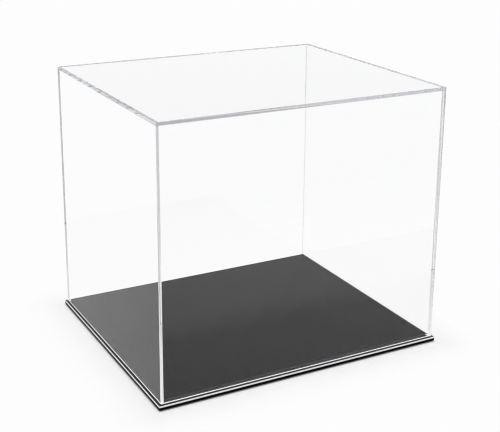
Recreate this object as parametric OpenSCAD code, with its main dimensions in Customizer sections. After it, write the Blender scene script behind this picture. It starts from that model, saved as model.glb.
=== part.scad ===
// Clear acrylic display case: a five-panel cover that lifts off a low layered base.
// The base is a black plate with a clear sheet on it and a black deck, which keeps the cover in place.
// Origin: centre of the footprint, on the surface that the feet stand on. +Z up, front face on -Y.

/* [Cover] */
// Outside width of the cover, left to right
cover_w = 346; // [200:1:600]
// Outside depth of the cover, front to back
cover_d = 293; // [200:1:600]
// Height of the cover, from its lower rim to its top
cover_h = 300; // [120:1:600]
// Thickness of the clear sheet that the cover is made of
wall_t = 4; // [3:0.5:8]

/* [Base] */
// How far the base reaches past the cover on every side
ledge = 3; // [2:0.5:10]
// Thickness of the black base plate
plate_t = 3; // [2:0.5:8]
// Thickness of the clear sheet on the base plate
sheet_t = 2; // [1:0.5:6]
// Radius of the base's four upright corners
base_corner_r = 1; // [1:0.5:6]

/* [Deck] */
// Thickness of the black deck that the cover fits round
deck_t = 3; // [2:0.5:10]
// Clearance between the deck and the inside of the cover, on every side
deck_clearance = 1; // [0.5:0.1:3]
// Radius of the deck's four upright corners
deck_corner_r = 1.5; // [0.5:0.5:6]

/* [Feet] */
// Diameter of a foot where it is stuck to the base plate
foot_d = 12; // [8:1:20]
// Height of a foot
foot_h = 1; // [0.8:0.1:4]
// How much smaller a foot is across its lower face
foot_taper = 1; // [0.2:0.1:3]
// Distance from the edges of the base to the centre of a foot
foot_inset = 22; // [14:1:60]

/* [Hidden] */
$fn = 64;

// The base's outline follows the cover
base_w = cover_w + 2 * ledge;
base_d = cover_d + 2 * ledge;
// Space inside the cover
inside_w = cover_w - 2 * wall_t;
inside_d = cover_d - 2 * wall_t;
// The four walls stand under the top panel
wall_h = cover_h - wall_t;
// Levels from the ground up
plate_z = foot_h;
sheet_z = plate_z + plate_t;
rim_z = sheet_z + sheet_t;
top_panel_z = rim_z + wall_h;

// A flat sheet with rounded upright corners, centred, standing on z = 0
module rounded_sheet(w, d, t, r) {
    linear_extrude(t) {
        square([w - 2 * r, d], center = true);
        square([w, d - 2 * r], center = true);
        for (x = [-1, 1], y = [-1, 1])
            translate([x * (w / 2 - r), y * (d / 2 - r)]) circle(r);
    }
}

// A straight-cut panel, centred in x and y, standing on z = 0
module panel(w, d, h) {
    translate([-w / 2, -d / 2, 0]) cube([w, d, h]);
}

// One stick-on foot, on the side given by the signs of x and y
module foot(side_x, side_y) {
    color("dimgray")
        translate([side_x * (base_w / 2 - foot_inset), side_y * (base_d / 2 - foot_inset), 0])
            cylinder(h = foot_h, d1 = foot_d - foot_taper, d2 = foot_d);
}

// Black plate that carries everything
module base_plate() {
    color("black")
        translate([0, 0, plate_z]) rounded_sheet(base_w, base_d, plate_t, base_corner_r);
}

// Clear sheet of the same outline, on which the cover's rim stands
module base_sheet() {
    color("lightcyan", 0.4)
        translate([0, 0, sheet_z]) rounded_sheet(base_w, base_d, sheet_t, base_corner_r);
}

// Black display surface, which fills the cover's inside but for a clearance
module deck() {
    color("black")
        translate([0, 0, rim_z])
            rounded_sheet(inside_w - 2 * deck_clearance, inside_d - 2 * deck_clearance, deck_t, deck_corner_r);
}

// Front or back wall, which fits between the two side walls
module cross_panel(side_y) {
    color("lightcyan", 0.25)
        translate([0, side_y * (cover_d - wall_t) / 2, rim_z]) panel(inside_w, wall_t, wall_h);
}

// Left or right wall, which runs the cover's full depth
module side_panel(side_x) {
    color("azure", 0.25)
        translate([side_x * (cover_w - wall_t) / 2, 0, rim_z]) panel(wall_t, cover_d, wall_h);
}

// Top of the cover, bonded onto the upper ends of all four walls
module top_panel() {
    color("aliceblue", 0.25)
        translate([0, 0, top_panel_z]) panel(cover_w, cover_d, wall_t);
}

foot(-1, -1);  // foot_front_left
foot(1, -1);  // foot_front_right
foot(-1, 1);  // foot_back_left
foot(1, 1);  // foot_back_right
base_plate();
base_sheet();
deck();
cross_panel(-1);  // front_panel
cross_panel(1);  // back_panel
side_panel(-1);  // left_panel
side_panel(1);  // right_panel
top_panel();
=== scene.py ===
"""Looks of a clear display case: acrylic cover, layered base, rubber feet and studio."""

import math

import bpy
import numpy as np
from bpy.props import FloatProperty, FloatVectorProperty, IntProperty, PointerProperty
from bpy.types import Operator, Panel, PropertyGroup
from mathutils import Matrix, Vector


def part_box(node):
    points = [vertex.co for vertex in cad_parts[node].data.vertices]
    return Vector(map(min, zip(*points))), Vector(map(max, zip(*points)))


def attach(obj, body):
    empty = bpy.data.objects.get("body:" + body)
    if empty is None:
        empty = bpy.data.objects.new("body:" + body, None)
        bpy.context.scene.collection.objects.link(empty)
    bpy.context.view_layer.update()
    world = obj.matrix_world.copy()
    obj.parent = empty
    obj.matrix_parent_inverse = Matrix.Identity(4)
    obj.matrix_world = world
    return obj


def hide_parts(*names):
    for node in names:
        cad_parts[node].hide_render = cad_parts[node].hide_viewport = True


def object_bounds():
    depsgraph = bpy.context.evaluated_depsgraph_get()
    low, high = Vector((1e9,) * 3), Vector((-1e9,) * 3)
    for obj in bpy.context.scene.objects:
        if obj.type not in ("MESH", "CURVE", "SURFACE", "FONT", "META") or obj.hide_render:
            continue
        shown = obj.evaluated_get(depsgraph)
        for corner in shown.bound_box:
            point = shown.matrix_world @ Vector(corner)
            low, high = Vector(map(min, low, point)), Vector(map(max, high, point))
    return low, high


bl_info = {
    "name": "Clear display case",
    "version": (1, 0, 0),
    "blender": (4, 5, 0),
    "location": "3D View > Sidebar > Display case",
    "description": "Builds the acrylic cover, the layered base, the feet and the studio",
    "category": "Object",
}

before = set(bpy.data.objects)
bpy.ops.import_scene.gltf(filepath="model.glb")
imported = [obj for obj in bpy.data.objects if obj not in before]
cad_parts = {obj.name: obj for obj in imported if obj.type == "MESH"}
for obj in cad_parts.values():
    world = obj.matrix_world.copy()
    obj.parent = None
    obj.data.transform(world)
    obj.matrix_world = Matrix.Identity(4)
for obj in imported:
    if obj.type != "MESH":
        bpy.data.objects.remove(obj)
cad_low, cad_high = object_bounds()

# Levels and sizes that every piece is worked out from, all in metres
COVER_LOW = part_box("left_panel")[0]
COVER_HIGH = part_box("top_panel")[1]
TOP_PANEL_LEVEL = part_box("top_panel")[0].z
SHEET_THICKNESS = COVER_HIGH.z - TOP_PANEL_LEVEL
RIM_LEVEL = COVER_LOW.z
COVER_PANELS = ("front_panel", "back_panel", "left_panel", "right_panel", "top_panel")
FEET = ("foot_front_left", "foot_front_right", "foot_back_left", "foot_back_right")
ACRYLIC_IOR = 1.49
RUBBER_IOR = 1.5

# Gap that keeps a film off the faces next to it
FILM_CLEARANCE = 0.00003

# Points of a rounded corner, steps round a foot, and the rings and steps of a bubble
SHELL_CORNER_POINTS, SHEET_CORNER_POINTS = 3, 12
FOOT_STEPS = 48
BUBBLE_RINGS, BUBBLE_STEPS = 4, 6

# Picture size that the camera is worked out for
FRAME_WIDTH, FRAME_HEIGHT = 500, 432


# ---------------------------------------------------------------- settings


class ClearSheetSettings(PropertyGroup):
    """Clear acrylic sheet of the cover and of the base's upper layer."""

    depth_colour: FloatVectorProperty(
        name="Depth colour", description="Colour that light keeps as it runs inside the sheet",
        subtype="COLOR", size=3, min=0, max=1, default=(0.75, 0.75, 0.775),
    )
    depth_density: FloatProperty(
        name="Depth density", description="How fast light is lost inside the sheet, per metre",
        min=0, max=50, default=2.6,
    )
    end_tint: FloatVectorProperty(
        name="End tint", description="Colour that light keeps as it passes the polished end of a sheet",
        subtype="COLOR", size=3, min=0, max=1, default=(0.87, 0.87, 0.88),
    )
    mirror_share: FloatProperty(
        name="Mirror share", description="Part of a plain face's reflection that the coated face keeps",
        subtype="FACTOR", min=0, max=1, default=0.38,
    )
    waviness: FloatProperty(
        name="Waviness", description="Height of the slow waves that cast sheet has", unit="LENGTH",
        min=0, max=0.0001, default=0.000004,
    )
    eased_edge: FloatProperty(
        name="Eased edge", description="Width of the flat taken off the sharp edges", unit="LENGTH",
        min=0.00005, max=0.001, default=0.00025,
    )
    air_film: FloatProperty(
        name="Air film", description="Air left between two sheets that only touch", unit="LENGTH",
        min=0.00001, max=0.0002, default=0.00005,
    )


class FrostedEdgeSettings(PropertyGroup):
    """Sawn and scraped edges of the clear sheet, which are left matt."""

    colour: FloatVectorProperty(
        name="Colour", description="Colour of the matt edge", subtype="COLOR",
        size=3, min=0, max=1, default=(0.97, 0.972, 0.976),
    )
    saw_mark_pitch: FloatProperty(
        name="Saw mark pitch", description="Distance between two marks of the saw", unit="LENGTH",
        min=0.0001, max=0.005, default=0.0007,
    )


class WeldSettings(PropertyGroup):
    """Film of cement in the joints of the cover, and the tiny bubbles in it."""

    film_thickness: FloatProperty(
        name="Film thickness", description="Thickness of the cement in a joint", unit="LENGTH",
        min=0.00002, max=0.0005, default=0.00008,
    )
    film_tint: FloatVectorProperty(
        name="Film tint", description="Colour that light keeps as it enters or leaves the cement",
        subtype="COLOR", size=3, min=0, max=1, default=(0.91, 0.91, 0.92),
    )
    film_end: FloatProperty(
        name="Film end", description="Distance past the middle where the left and back joints' films end",
        subtype="DISTANCE", min=-0.1, max=0.1, default=0.02,
    )
    second_coat: FloatProperty(
        name="Second coat", description="Length of the second coat at the top of the back right joint",
        unit="LENGTH", min=0, max=0.2, default=0.07,
    )
    bubbles_per_metre: IntProperty(
        name="Bubbles per metre", description="Bubbles in each metre of joint", min=0, max=600, default=150,
    )
    bubble_size: FloatProperty(
        name="Bubble size", description="Diameter of the largest bubbles", unit="LENGTH",
        min=0.00005, max=0.001, default=0.0004,
    )


class BlackSheetSettings(PropertyGroup):
    """Black acrylic sheet of the base plate and of the deck."""

    colour: FloatVectorProperty(
        name="Colour", description="Colour of the black sheet", subtype="COLOR",
        size=3, min=0, max=1, default=(0.003, 0.003, 0.0034),
    )
    edge_colour: FloatVectorProperty(
        name="Deck edge colour", description="Colour of the deck's scraped edge", subtype="COLOR",
        size=3, min=0, max=1, default=(0.075, 0.075, 0.08),
    )
    gloss_roughness: FloatProperty(
        name="Gloss roughness", description="Roughness of the polished face", min=0, max=1, default=0.03,
    )
    eased_edge: FloatProperty(
        name="Eased edge", description="Width of the flat taken off the sharp edges", unit="LENGTH",
        min=0.00005, max=0.001, default=0.0003,
    )


class FootSettings(PropertyGroup):
    """Self-adhesive rubber feet."""

    colour: FloatVectorProperty(
        name="Colour", description="Colour of the rubber", subtype="COLOR",
        size=3, min=0, max=1, default=(0.012, 0.012, 0.013),
    )
    rounding: FloatProperty(
        name="Rounding", description="Radius of the rounded lower edge", unit="LENGTH",
        min=0.0001, max=0.0006, default=0.0004,
    )
    recess: FloatProperty(
        name="Recess", description="Depth of the hollow in the sole", unit="LENGTH",
        min=0.0, max=0.0006, default=0.00025,
    )


class StageSettings(PropertyGroup):
    """Floor, light and camera."""

    floor_size: FloatProperty(
        name="Floor size", description="Side of the square floor", unit="LENGTH", min=1, max=50, default=24.0,
    )
    lamp_size: FloatProperty(
        name="Lamp size", description="Side of the soft lamp overhead", unit="LENGTH",
        min=0.1, max=5, default=1.4,
    )
    lamp_height: FloatProperty(
        name="Lamp height", description="Height of the soft lamp above the floor", unit="LENGTH",
        min=0.5, max=5, default=1.9,
    )
    lamp_power: FloatProperty(
        name="Lamp power", description="Power of the soft lamp in watts", min=0, max=500, default=24.6,
    )


# ---------------------------------------------------------------- meshes


def add_piece(name, points, faces, materials, finishes=None):
    """Makes an object from points and faces; finishes gives the number of each face's material."""
    mesh = bpy.data.meshes.new(name)
    mesh.from_pydata(points.tolist(), [], faces)
    for material in materials:
        mesh.materials.append(material)
    if finishes is not None:
        mesh.polygons.foreach_set("material_index", np.asarray(finishes, dtype=np.int32))
    mesh.update()
    piece = bpy.data.objects.new(name, mesh)
    bpy.context.scene.collection.objects.link(piece)
    return piece


def rounded_rectangle(half_width, half_depth, radius, level, corner_points):
    """Ring of points: four quarter circles joined by straight sides, anticlockwise from above.

    Corner k is centred at (sx (half_width - radius), sy (half_depth - radius)) and spans 90 degrees
    from 90 k degrees.
    """
    turn = np.linspace(0, math.pi / 2, corner_points)
    quarter = np.arange(4)[:, None] * math.pi / 2 + turn[None, :]
    side_x = np.array([1, -1, -1, 1])[:, None]
    side_y = np.array([1, 1, -1, -1])[:, None]
    x = side_x * (half_width - radius) + radius * np.cos(quarter)
    y = side_y * (half_depth - radius) + radius * np.sin(quarter)
    z = np.full_like(x, level)
    return np.stack([x, y, z], axis=-1).reshape(-1, 3)


def band_faces(rows, columns):
    """Quads between neighbouring rings of a grid that is closed round its columns, ring by ring."""
    first = np.arange(rows - 1)[:, None] * columns + np.arange(columns)[None, :]
    after = np.arange(rows - 1)[:, None] * columns + (np.arange(columns)[None, :] + 1) % columns
    return np.stack([first, after, after + columns, first + columns], axis=-1).reshape(-1, 4)


def lofted(name, profile, corner_points, materials):
    """Closed solid through rounded rectangles: row v is the ring of profile[v], column u runs round it.

    profile is a list of (half_width, half_depth, radius, level, finish), from the middle of the underside
    outwards and up. finish is the material of the band from that ring to the next, and the two flat ends
    take material 0.
    """
    rings = np.stack([rounded_rectangle(*row[:4], corner_points) for row in profile])
    rows, columns = rings.shape[:2]
    faces = band_faces(rows, columns).tolist()
    faces.append(list(range(columns - 1, -1, -1)))
    faces.append(list(range((rows - 1) * columns, rows * columns)))
    finishes = np.repeat([row[4] for row in profile[:-1]], columns).tolist() + [0, 0]
    return add_piece(name, rings.reshape(-1, 3), faces, materials, finishes)


def turned(name, centre, profile, steps, materials):
    """Closed solid of revolution: ring v is profile[v] carried round, column u the angle 2 pi u / steps.

    profile is a list of (radius, level), from the middle of the underside outwards and up to the middle of
    the top.
    """
    radius, level = np.array(profile).T
    angle = np.arange(steps) * 2 * math.pi / steps
    x = centre[0] + radius[:, None] * np.cos(angle)[None, :]
    y = centre[1] + radius[:, None] * np.sin(angle)[None, :]
    z = np.broadcast_to(level[:, None], x.shape)
    points = np.stack([x, y, z], axis=-1).reshape(-1, 3)
    rows = len(profile)
    faces = band_faces(rows, steps).tolist()
    faces.append(list(range(steps - 1, -1, -1)))
    faces.append(list(range((rows - 1) * steps, rows * steps)))
    return add_piece(name, points, faces, materials)


def beads(name, centres, radii, stretch, materials):
    """Many small closed balls: x = r sin(t) cos(p), y = r sin(t) sin(p), z = r cos(t).

    t runs over the rings between the poles and p over the steps round them. stretch draws each ball out
    along x, y and z.
    """
    rings, steps = BUBBLE_RINGS, BUBBLE_STEPS
    t = np.linspace(math.pi, 0, rings + 2)[1:-1]
    p = np.arange(steps) * 2 * math.pi / steps
    ball = np.stack([
        np.sin(t)[:, None] * np.cos(p)[None, :],
        np.sin(t)[:, None] * np.sin(p)[None, :],
        np.broadcast_to(np.cos(t)[:, None], (rings, steps)),
    ], axis=-1).reshape(-1, 3)
    points = centres[:, None, :] + ball[None] * (radii[:, None] * stretch)[:, None, :]
    starts = np.arange(len(centres)) * rings * steps
    quads = (band_faces(rings, steps)[None] + starts[:, None, None]).reshape(-1, 4).tolist()
    under = (np.arange(steps - 1, -1, -1)[None] + starts[:, None]).tolist()
    over = (np.arange((rings - 1) * steps, rings * steps)[None] + starts[:, None]).tolist()
    return add_piece(name, points.reshape(-1, 3), quads + under + over, materials)


# ---------------------------------------------------------------- shader maths


class Recipe:
    """The node tree of one material or world."""

    def __init__(self, owner):
        owner.use_nodes = True
        self.tree = owner.node_tree
        self.tree.nodes.clear()

    def node(self, kind, settings=None, inputs=None):
        """Adds a node of the given type, with its settings first and then its sockets' values or links."""
        made = self.tree.nodes.new(kind)
        for key, value in (settings or {}).items():
            setattr(made, key, value)
        for key, value in (inputs or {}).items():
            socket = made.inputs[key]
            if isinstance(value, Signal):
                value = value.socket
            if isinstance(value, bpy.types.NodeSocket):
                self.tree.links.new(value, socket)
            else:
                socket.default_value = value
        return made

    def signal(self, kind, output, settings=None, inputs=None):
        """The same, giving back one of its outputs as a Signal."""
        return Signal(self, self.node(kind, settings, inputs).outputs[output])

    def place(self, stretch=(1, 1, 1)):
        """Position on the object in metres, with each axis scaled."""
        spot = self.node("ShaderNodeTexCoord").outputs["Object"]
        return self.node("ShaderNodeMapping", inputs={"Vector": spot, "Scale": stretch}).outputs[0]

    def coordinates(self):
        """Position on the object in metres as three signals."""
        apart = self.node("ShaderNodeSeparateXYZ", inputs={0: self.place()})
        return [Signal(self, output) for output in apart.outputs]

    def noise(self, scale, detail=2.0, stretch=(1, 1, 1)):
        """Cloudy pattern between 0 and 1 with about scale lumps to the metre."""
        inputs = {"Vector": self.place(stretch), "Scale": scale, "Detail": detail}
        return self.signal("ShaderNodeTexNoise", 0, inputs=inputs)

    def cells(self, scale, stretch=(1, 1, 1)):
        """Distance to the nearest of about scale points to the metre, as a share of their spacing."""
        return self.signal("ShaderNodeTexVoronoi", 0, inputs={"Vector": self.place(stretch), "Scale": scale})

    def blend(self, share, first, second):
        """Colour between two others."""
        made = self.node("ShaderNodeMix", {"data_type": "RGBA"}, {0: share, 6: (*first, 1), 7: (*second, 1)})
        return made.outputs[2]

    def bump(self, height, distance):
        """Normal of a surface raised by height, 0 to 1, times distance in metres."""
        return self.node("ShaderNodeBump", inputs={"Height": height, "Distance": distance}).outputs[0]

    def finish(self, surface, **others):
        """Adds the material's output."""
        self.node("ShaderNodeOutputMaterial", inputs={"Surface": surface.outputs[0], **others})


class Signal:
    """A number that changes over a surface: a socket that adds Math nodes when it is used in a sum."""

    def __init__(self, recipe, socket):
        self.recipe = recipe
        self.socket = socket

    def math(self, operation, *values):
        """A Math node with this signal first and the other values after it."""
        inputs = dict(enumerate((self, *values)))
        return self.recipe.signal("ShaderNodeMath", 0, {"operation": operation}, inputs)

    def ramp(self, start, end, low=0.0, high=1.0):
        """Smooth step from low to high as the signal goes from start to end."""
        inputs = {"Value": self, "From Min": start, "From Max": end, "To Min": low, "To Max": high}
        return self.recipe.signal("ShaderNodeMapRange", 0, {"interpolation_type": "SMOOTHSTEP"}, inputs)

    def __add__(self, other):
        return self.math("ADD", other)

    def __sub__(self, other):
        return self.math("SUBTRACT", other)

    def __mul__(self, other):
        return self.math("MULTIPLY", other)

    def __rsub__(self, other):
        return (self * -1) + other

    __radd__ = __add__
    __rmul__ = __mul__


# ---------------------------------------------------------------- materials


def clear_acrylic(settings):
    """Polished clear acrylic with a faint coating against glare and the slow waves of cast sheet.

    A face mirrors as much as Fresnel's law says times the mirror share, and all of the light that can't get
    out. Two kinds of sheet end that show at the front and back are a little tinted: the top panel's, and
    the outer half of each side panel's, which is clear near its foot.
    """
    colourless = (0.998, 0.9985, 0.999)
    trapped = 0.99
    foot_clear, foot_tinted = 0.06, 0.12
    material = bpy.data.materials.new("polished_clear_acrylic")
    recipe = Recipe(material)
    waves = recipe.noise(14, 1.0) + recipe.noise(70, 1.0) * 0.1
    normal = recipe.bump(waves, settings.waviness)
    law = recipe.signal("ShaderNodeFresnel", 0, inputs={"IOR": ACRYLIC_IOR, "Normal": normal})
    share = (law * settings.mirror_share).math("MAXIMUM", law.math("GREATER_THAN", trapped))
    x, y, z = recipe.coordinates()
    x, y = x.math("ABSOLUTE"), y.math("ABSOLUTE")
    outer_half = x.math("GREATER_THAN", COVER_HIGH.x - SHEET_THICKNESS / 2)
    post = outer_half * (z - RIM_LEVEL).ramp(foot_clear, foot_tinted)
    end = post.math("MAXIMUM", z.math("GREATER_THAN", TOP_PANEL_LEVEL))
    end = end * y.math("GREATER_THAN", COVER_HIGH.y - settings.eased_edge / 2)
    clear, tinted = (recipe.node("ShaderNodeBsdfRefraction", inputs={
        "Color": (*colour, 1),
        "Roughness": 0.0,
        "IOR": ACRYLIC_IOR,
        "Normal": normal,
    }) for colour in (colourless, settings.end_tint))
    through = recipe.node("ShaderNodeMixShader", inputs={
        0: end, 1: clear.outputs[0], 2: tinted.outputs[0],
    })
    mirrored = recipe.node("ShaderNodeBsdfAnisotropic", inputs={
        "Color": (1, 1, 1, 1),
        "Roughness": 0.0,
        "Normal": normal,
    })
    surface = recipe.node("ShaderNodeMixShader", inputs={
        0: share, 1: through.outputs[0], 2: mirrored.outputs[0],
    })
    depth = recipe.node("ShaderNodeVolumeAbsorption", inputs={
        "Color": (*settings.depth_colour, 1),
        "Density": settings.depth_density,
    })
    recipe.finish(surface, Volume=depth.outputs[0])
    return material


def frosted_edge(settings):
    """Matt edge of clear sheet: pale, with fine marks of the saw across it."""
    material = bpy.data.materials.new("frosted_acrylic_edge")
    recipe = Recipe(material)
    pitch = 1 / settings.saw_mark_pitch
    marks = recipe.noise(pitch, 1.0, (1, 1, 0.1))
    shade = tuple(0.92 * c for c in settings.colour)
    shader = recipe.node("ShaderNodeBsdfPrincipled", inputs={
        "Base Color": recipe.blend(marks.ramp(0.35, 0.65), shade, settings.colour),
        "Roughness": marks.ramp(0.3, 0.7, 0.35, 0.5),
        "IOR": ACRYLIC_IOR,
        "Normal": recipe.bump(marks, 0.00002),
    })
    recipe.finish(shader)
    return material


def cement(settings):
    """Film of cement: clear, but a little grey."""
    material = bpy.data.materials.new("cement_film")
    recipe = Recipe(material)
    recipe.finish(recipe.node("ShaderNodeBsdfTransparent", inputs={"Color": (*settings.film_tint, 1)}))
    return material


def black_polish(settings):
    """Black acrylic with a high polish: slow waves, a few hairline scratches and a breath of dust."""
    material = bpy.data.materials.new("polished_black_acrylic")
    recipe = Recipe(material)
    smear = recipe.noise(11, 3.0)
    scratch = recipe.noise(420, 0.0, (1, 0.02, 1)).ramp(0.70, 0.74)
    dust = recipe.cells(240).ramp(0.06, 0.02) * recipe.noise(25, 2.0).ramp(0.5, 0.7)
    light = tuple(c + 0.05 for c in settings.colour)
    smooth, smeared = settings.gloss_roughness, settings.gloss_roughness * 2.2
    shader = recipe.node("ShaderNodeBsdfPrincipled", inputs={
        "Base Color": recipe.blend(dust * 0.6, settings.colour, light),
        "Roughness": smear.ramp(0.3, 0.8, smooth, smeared) + scratch * 0.08,
        "IOR": ACRYLIC_IOR,
        "Specular IOR Level": 0.26,
        "Normal": recipe.bump(recipe.noise(45, 1.0), 0.000006),
    })
    recipe.finish(shader)
    return material


def black_edge(name, colour, level):
    """Scraped edge of black acrylic sheet: satin, with the scraper's lines along it."""
    material = bpy.data.materials.new(name)
    recipe = Recipe(material)
    lines = recipe.noise(2600, 1.0, (0.05, 0.05, 1))
    dark = tuple(0.7 * c for c in colour)
    shader = recipe.node("ShaderNodeBsdfPrincipled", inputs={
        "Base Color": recipe.blend(lines.ramp(0.35, 0.65), dark, colour),
        "Roughness": lines.ramp(0.3, 0.7, 0.4, 0.55),
        "IOR": ACRYLIC_IOR,
        "Specular IOR Level": level,
        "Normal": recipe.bump(lines, 0.00001),
    })
    recipe.finish(shader)
    return material


def foot_rubber(settings):
    """Matt moulded rubber with a fine grain."""
    material = bpy.data.materials.new("moulded_rubber")
    recipe = Recipe(material)
    grain = recipe.noise(2400, 2.0)
    pale = tuple(2.2 * c for c in settings.colour)
    shader = recipe.node("ShaderNodeBsdfPrincipled", inputs={
        "Base Color": recipe.blend(grain.ramp(0.35, 0.75), settings.colour, pale),
        "Roughness": grain.ramp(0.3, 0.7, 0.75, 0.9),
        "IOR": RUBBER_IOR,
        "Normal": recipe.bump(grain, 0.00003),
    })
    recipe.finish(shader)
    return material


# ---------------------------------------------------------------- pieces


class DISPLAYCASE_OT_cover(Operator):
    """Builds the cover as one clear body, because its cement welds the five sheets together"""

    bl_idname = "displaycase.cover"
    bl_label = "Cover"

    def execute(self, context):
        settings = context.scene.clear_sheet
        half_w = (COVER_HIGH.x - COVER_LOW.x) / 2
        half_d = (COVER_HIGH.y - COVER_LOW.y) / 2
        ease = settings.eased_edge
        fine = ease / 8
        rim = RIM_LEVEL + settings.air_film
        inner_w, inner_d = half_w - SHEET_THICKNESS, half_d - SHEET_THICKNESS
        profile = [
            (inner_w - ease, inner_d - ease, fine, TOP_PANEL_LEVEL, 0),
            (inner_w, inner_d, fine, TOP_PANEL_LEVEL, 0),
            (inner_w, inner_d, fine, rim + fine, 1),
            (inner_w + fine, inner_d + fine, fine, rim, 1),
            (half_w - ease, half_d - ease, ease, rim, 1),
            (half_w, half_d, ease, rim + ease, 0),
            (half_w, half_d, ease, COVER_HIGH.z - ease, 0),
            (half_w - ease, half_d - ease, ease, COVER_HIGH.z, 0),
        ]
        materials = (clear_acrylic(settings), frosted_edge(context.scene.frosted_edge))
        piece = lofted("cover_shell", profile, SHELL_CORNER_POINTS, materials)
        piece.visible_shadow = False
        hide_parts(*COVER_PANELS)
        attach(piece, "cover")
        return {"FINISHED"}


def slab(first, second):
    """Closed box between two opposite corners: point (i, j, k) is on the low or high side of each axis."""
    low, high = np.sort([first, second], axis=0)
    share = np.stack(np.meshgrid((0, 1), (0, 1), (0, 1), indexing="ij"), axis=-1).reshape(-1, 3)
    faces = np.array([(0, 1, 3, 2), (4, 6, 7, 5), (0, 4, 5, 1), (2, 3, 7, 6), (0, 2, 6, 4), (1, 5, 7, 3)])
    return low + share * (high - low), faces


class DISPLAYCASE_OT_films(Operator):
    """Lays the film of cement in the joints that took the most of it"""

    bl_idname = "displaycase.films"
    bl_label = "Weld films"

    def execute(self, context):
        settings = context.scene.welds
        thick, clear = settings.film_thickness, FILM_CLEARANCE
        ease = context.scene.clear_sheet.eased_edge
        outer = (COVER_HIGH.x - ease - clear, COVER_HIGH.y - ease - clear)
        inner = (COVER_HIGH.x - SHEET_THICKNESS + clear, COVER_HIGH.y - SHEET_THICKNESS + clear)
        level = TOP_PANEL_LEVEL
        # Under the top panel: the front joint, the front part of the left one, the left part of the back one
        solids = [
            slab((-outer[0], -outer[1], level), (outer[0], -inner[1], level + thick)),
            slab((-outer[0], clear - inner[1], level), (-inner[0], settings.film_end, level + thick)),
            slab((clear - inner[0], inner[1], level), (settings.film_end, outer[1], level + thick)),
        ]
        # Upright: the two back corners, with a second coat at the top of the right one
        foot = RIM_LEVEL + 2 * ease
        for side, low, coat in ((-1, foot, 0), (1, foot, 0), (1, level - settings.second_coat, 1)):
            near = inner[0] + 2 * coat * thick
            far = near + thick
            solids.append(slab((side * near, inner[1], low), (side * far, outer[1], level - clear)))
        starts = np.cumsum([0] + [len(points) for points, _ in solids])
        faces = [face for start, (_, quads) in zip(starts, solids) for face in (quads + start).tolist()]
        points = np.concatenate([points for points, _ in solids])
        piece = add_piece("weld_films", points, faces, (cement(settings),))
        piece.visible_shadow = False
        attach(piece, "cover")
        return {"FINISHED"}


class DISPLAYCASE_OT_welds(Operator):
    """Strews tiny bubbles along the joints of the cover"""

    bl_idname = "displaycase.welds"
    bl_label = "Weld bubbles"

    def execute(self, context):
        settings = context.scene.welds
        rng = np.random.default_rng(7)
        scatter, extra_length, smallest, rim_gap = 0.6, 0.8, 0.3, 0.004
        mid = SHEET_THICKNESS / 2
        left, right = COVER_LOW.x + mid, COVER_HIGH.x - mid
        front, back = COVER_LOW.y + mid, COVER_HIGH.y - mid
        level = TOP_PANEL_LEVEL
        corners = [(left, front), (right, front), (right, back), (left, back)]
        joints = [((*corners[k], level), (*corners[k - 3], level)) for k in range(4)]
        for x, y in corners:
            seam_x = x + (mid if x < 0 else -mid)
            joints.append(((seam_x, y, RIM_LEVEL + rim_gap), (seam_x, y, level)))
        centres, stretches = [], []
        for start, end in np.array(joints):
            along = end - start
            length = np.linalg.norm(along)
            count = int(length * settings.bubbles_per_metre)
            shares = np.sort(rng.random(count))[:, None]
            if abs(along[2]) > 0.5 * length:
                spread = np.array([0.0, scatter, 0.0])
            else:
                spread = np.array([scatter, scatter, 0.0]) * (np.abs(along) < 1e-9)
            centres.append(start + shares * along + (rng.random((count, 3)) - 0.5) * 2 * spread * mid)
            stretches.append(np.full((count, 3), 1.0) + extra_length * (np.abs(along) / length))
        centres, stretches = np.concatenate(centres), np.concatenate(stretches)
        sizes = smallest + (1 - smallest) * rng.random(len(centres)) ** 2
        radii = settings.bubble_size / 2 * sizes
        matt = bpy.data.materials["frosted_acrylic_edge"]
        piece = beads("weld_bubbles", centres, radii, stretches, (matt,))
        piece.visible_shadow = False
        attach(piece, "cover")
        return {"FINISHED"}


def corner_radius(node):
    """Radius of a sheet's upright corners: how far its straight front edge ends short of its side."""
    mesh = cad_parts[node].data
    points = np.empty(len(mesh.vertices) * 3)
    mesh.vertices.foreach_get("co", points)
    x, y = points.reshape(-1, 3)[:, :2].T
    return float(x.max() - x[y < y.min() + 1e-6].max())


def sheet_profile(node, ease, lift=0.0, sink=0.0):
    """Profile of a flat sheet as large as a CAD node: underside, eased lower edge, side, eased upper edge."""
    low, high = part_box(node)
    radius = corner_radius(node)
    half_w, half_d = (high.x - low.x) / 2, (high.y - low.y) / 2
    bottom, top = low.z + lift, high.z - sink
    inner = radius - ease
    return [
        (half_w - ease, half_d - ease, inner, bottom, 1),
        (half_w, half_d, radius, bottom + ease, 1),
        (half_w, half_d, radius, top - ease, 1),
        (half_w - ease, half_d - ease, inner, top, 0),
    ]


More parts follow.
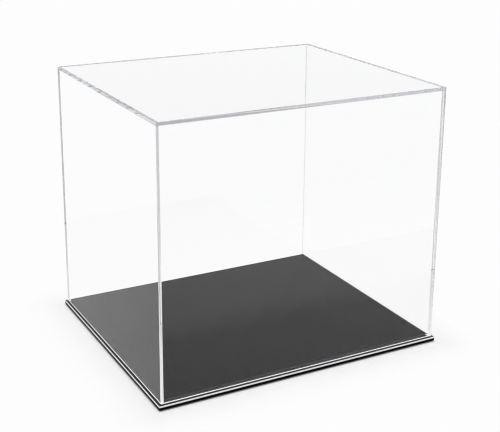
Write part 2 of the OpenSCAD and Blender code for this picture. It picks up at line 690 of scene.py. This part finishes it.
class DISPLAYCASE_OT_base(Operator):
    """Builds the black plate, the clear sheet on it and the deck, none of which the panels mirror"""

    bl_idname = "displaycase.base"
    bl_label = "Base"

    def execute(self, context):
        black, clear = context.scene.black_sheet, context.scene.clear_sheet
        polish = black_polish(black)
        plate_edge = black_edge("dark_sheet_edge", black.colour, 0.08)
        deck_edge = black_edge("scraped_deck_edge", black.edge_colour, 0.3)
        see_through = bpy.data.materials["polished_clear_acrylic"]
        matt = bpy.data.materials["frosted_acrylic_edge"]
        ease, film = black.eased_edge, clear.air_film
        rows = (
            ("black_plate", "base_plate", ease, 0, 0, (polish, plate_edge), "black_acrylic"),
            ("clear_layer", "base_sheet", ease / 2, film, film, (see_through, matt), "clear_acrylic"),
            ("display_deck", "deck", ease, 0, 0, (polish, deck_edge), "black_acrylic"),
        )
        for name, node, easing, lift, sink, materials, slot in rows:
            profile = sheet_profile(node, easing, lift, sink)
            piece = lofted(name, profile, SHEET_CORNER_POINTS, materials)
            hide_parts(node)
            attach(piece, "base")
            piece.visible_shadow = slot != "clear_acrylic"
            piece.visible_glossy = False
        return {"FINISHED"}


class DISPLAYCASE_OT_feet(Operator):
    """Turns the four rubber feet, with a rounded lower edge and a shallow hollow in the sole"""

    bl_idname = "displaycase.feet"
    bl_label = "Feet"

    def execute(self, context):
        settings = context.scene.feet
        material = foot_rubber(settings)
        r, hollow = settings.rounding, settings.recess
        hub, draft = 0.0002, 0.0006
        bend = np.linspace(-math.pi / 2, 0.1, 6)
        for node in FEET:
            low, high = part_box(node)
            centre = ((low.x + high.x) / 2, (low.y + high.y) / 2)
            radius = (high.x - low.x) / 2
            height = high.z - low.z
            sole = radius - draft
            profile = [(hub, low.z + hollow), (sole * 0.62, low.z + hollow), (sole * 0.7, low.z)]
            profile += [(sole - r + r * math.cos(a), low.z + r + r * math.sin(a)) for a in bend]
            profile += [(radius, low.z + height * 0.9), (radius, high.z), (hub, high.z)]
            piece = turned("rubber_" + node, centre, profile, FOOT_STEPS, (material,))
            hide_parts(node)
            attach(piece, "base")
            piece.visible_glossy = False
        return {"FINISHED"}


# ---------------------------------------------------------------- stage


class DISPLAYCASE_OT_stage(Operator):
    """Sets the floor, the soft lamp, the surroundings and the camera"""

    bl_idname = "displaycase.stage"
    bl_label = "Stage"

    def execute(self, context):
        settings = context.scene.stage
        self.floor(settings)
        self.surroundings(context)
        self.lamp(settings)
        self.camera(context)
        return {"FINISHED"}

    def floor(self, settings):
        """Pale floor: plain paper round the case, with its real shadow and painted shade, and white farther
        off.

        In the panels' mirroring alone, the floor in front of the case is painted dark, but for a pale strip:
        a painted dark reflection. Distances along the floor are in metres from the middle of the case, back
        positive.
        """
        # The paper's grey is darker than the white glow, so the floor near the case holds painted shade as
        # well as the real shadow
        grey, white, painted_reflection_level = 0.84, 0.985, 0.03
        shadow_reach = 0.06
        half = settings.floor_size / 2
        material = bpy.data.materials.new("pale_floor")
        recipe = Recipe(material)
        path = recipe.node("ShaderNodeLightPath")
        camera, through, mirror = (Signal(recipe, path.outputs[k]) for k in
                                   ("Is Camera Ray", "Is Transmission Ray", "Is Glossy Ray"))
        direct = (camera + through).math("MINIMUM", 1.0)
        across, along, _ = recipe.coordinates()
        beside = [
            (place.math("ABSOLUTE") - size / 2).math("MAXIMUM", 0.0)
            for place, size in ((across, cad_high.x - cad_low.x), (along, cad_high.y - cad_low.y))
        ]
        away = (beside[0] * beside[0] + beside[1] * beside[1]).math("SQRT")
        paper = recipe.node("ShaderNodeBsdfPrincipled", inputs={
            "Base Color": (grey, grey, grey, 1), "Roughness": 0.7,
        })
        # The dark emission is the painted dark reflection that the panels mirror in front of the case
        glow, dark = (recipe.node("ShaderNodeEmission", inputs={"Color": (1, 1, 1, 1), "Strength": strength})
                      for strength in (white, painted_reflection_level))
        # Near the case the floor turns from the white glow to the grey paper: real shadow plus painted shade
        lit = (direct * away.ramp(0.0, shadow_reach).math("POWER", 0.6)).math("MAXIMUM", mirror)
        plain = recipe.node("ShaderNodeMixShader", inputs={0: lit, 1: paper.outputs[0], 2: glow.outputs[0]})
        # Mirror rays see the floor in front of the case as the dark emission, a painted dark reflection in
        # the panels, but for a pale strip
        strip = along.ramp(-0.27, -0.34) * along.ramp(-0.75, -0.45)
        painted_reflection_share = mirror * (1 - direct) * along.ramp(-0.10, -0.18) * (1 - strip)
        mixed = recipe.node("ShaderNodeMixShader", inputs={
            0: painted_reflection_share, 1: plain.outputs[0], 2: dark.outputs[0],
        })
        recipe.finish(mixed)
        corners = np.array([(-half, -half, 0), (half, -half, 0), (half, half, 0), (-half, half, 0)])
        add_piece("floor", corners, [(0, 1, 2, 3)], (material,))

    def surroundings(self, context):
        """Even soft light. Through or in a polished face, the room is darker overhead than at the horizon."""
        world = bpy.data.worlds.new("soft_studio")
        context.scene.world = world
        recipe = Recipe(world)
        path = recipe.node("ShaderNodeLightPath")
        camera, mirror, through = (Signal(recipe, path.outputs[k]) for k in
                                   ("Is Camera Ray", "Is Glossy Ray", "Is Transmission Ray"))
        seen = (mirror + through).math("MINIMUM", 1.0)
        heading = recipe.node("ShaderNodeTexCoord").outputs["Generated"]
        rise = Signal(recipe, recipe.node("ShaderNodeSeparateXYZ", inputs={0: heading}).outputs[2])
        fill, zenith = 0.55, 0.5
        overhead = rise.ramp(0.05, 0.45, 1 - fill, zenith - fill)
        strength = (camera * (1 - fill) + seen * overhead).math("MINIMUM", 1 - fill) + fill
        sky = recipe.node("ShaderNodeBackground", inputs={"Color": (1, 1, 1, 1), "Strength": strength})
        recipe.node("ShaderNodeOutputWorld", inputs={"Surface": sky.outputs[0]})

    def lamp(self, settings):
        """Soft square lamp above the case, a little behind its middle."""
        light = bpy.data.lights.new("soft_lamp", "AREA")
        light.size = settings.lamp_size
        light.energy = settings.lamp_power
        lamp = bpy.data.objects.new("soft_lamp", light)
        lamp.location = (0.0, 0.1, settings.lamp_height)
        bpy.context.scene.collection.objects.link(lamp)

    def camera(self, context):
        """Camera from its focal length and centre in picture points, and its place, turn, tilt and roll."""
        focal, centre = 1052.66, (252.4, 160.4)
        turn, tilt, roll = (math.radians(a) for a in (28.441, 16.652, 0.506))
        place = Vector((COVER_LOW.x - 0.37897, COVER_LOW.y - 0.89259, RIM_LEVEL + 0.55205))
        ahead = Vector((math.sin(turn) * math.cos(tilt), math.cos(turn) * math.cos(tilt), -math.sin(tilt)))
        right = ahead.cross(Vector((0, 0, 1))).normalized()
        up = right.cross(ahead)
        right, up = math.cos(roll) * right + math.sin(roll) * up, math.cos(roll) * up - math.sin(roll) * right
        data = bpy.data.cameras.new("camera")
        data.sensor_width = 36.0
        data.lens = focal / FRAME_WIDTH * data.sensor_width
        data.shift_x = (FRAME_WIDTH / 2 - centre[0]) / FRAME_WIDTH
        data.shift_y = -(FRAME_HEIGHT / 2 - centre[1]) / FRAME_WIDTH
        camera = bpy.data.objects.new("camera", data)
        bpy.context.scene.collection.objects.link(camera)
        camera.matrix_world = Matrix((
            (right.x, up.x, -ahead.x, place.x),
            (right.y, up.y, -ahead.y, place.y),
            (right.z, up.z, -ahead.z, place.z),
            (0, 0, 0, 1),
        ))
        scene = context.scene
        scene.camera = camera
        scene.view_settings.view_transform = "Standard"
        # The default pattern leaves worm-like marks in the black sheets, once noise is taken out
        scene.cycles.sampling_pattern = "TABULATED_SOBOL"
        # Light runs the length of a sheet in more than a hundred reflections
        scene.cycles.max_bounces = scene.cycles.glossy_bounces = scene.cycles.transmission_bounces = 256
        scene.cycles.transparent_max_bounces = 64
        # A narrower filter than the default keeps the thin edges crisp
        scene.cycles.filter_width = 1.1


# ---------------------------------------------------------------- add-on


OPERATORS = (
    DISPLAYCASE_OT_cover,
    DISPLAYCASE_OT_films,
    DISPLAYCASE_OT_welds,
    DISPLAYCASE_OT_base,
    DISPLAYCASE_OT_feet,
    DISPLAYCASE_OT_stage,
)
SETTINGS = {
    "clear_sheet": ClearSheetSettings,
    "frosted_edge": FrostedEdgeSettings,
    "welds": WeldSettings,
    "black_sheet": BlackSheetSettings,
    "feet": FootSettings,
    "stage": StageSettings,
}


class DISPLAYCASE_PT_panel(Panel):
    """Buttons and sizes in the sidebar"""

    bl_idname = "DISPLAYCASE_PT_panel"
    bl_label = "Display case"
    bl_space_type = "VIEW_3D"
    bl_region_type = "UI"
    bl_category = "Display case"

    def draw(self, context):
        for operator in OPERATORS:
            self.layout.operator(operator.bl_idname)
        for name, group in SETTINGS.items():
            box = self.layout.box()
            for key in group.__annotations__:
                box.prop(getattr(context.scene, name), key)


def register():
    """Adds the settings, the operators and the panel."""
    for group in SETTINGS.values():
        bpy.utils.register_class(group)
    for name, group in SETTINGS.items():
        setattr(bpy.types.Scene, name, PointerProperty(type=group))
    for part in (*OPERATORS, DISPLAYCASE_PT_panel):
        bpy.utils.register_class(part)


def unregister():
    """Takes them all out again."""
    for part in (DISPLAYCASE_PT_panel, *reversed(OPERATORS)):
        bpy.utils.unregister_class(part)
    for name, group in SETTINGS.items():
        delattr(bpy.types.Scene, name)
        bpy.utils.unregister_class(group)


def main():
    """Builds every piece and the stage."""
    register()
    for operator in OPERATORS:
        family, name = operator.bl_idname.split(".")
        getattr(getattr(bpy.ops, family), name)()


if __name__ == "__main__":
    main()
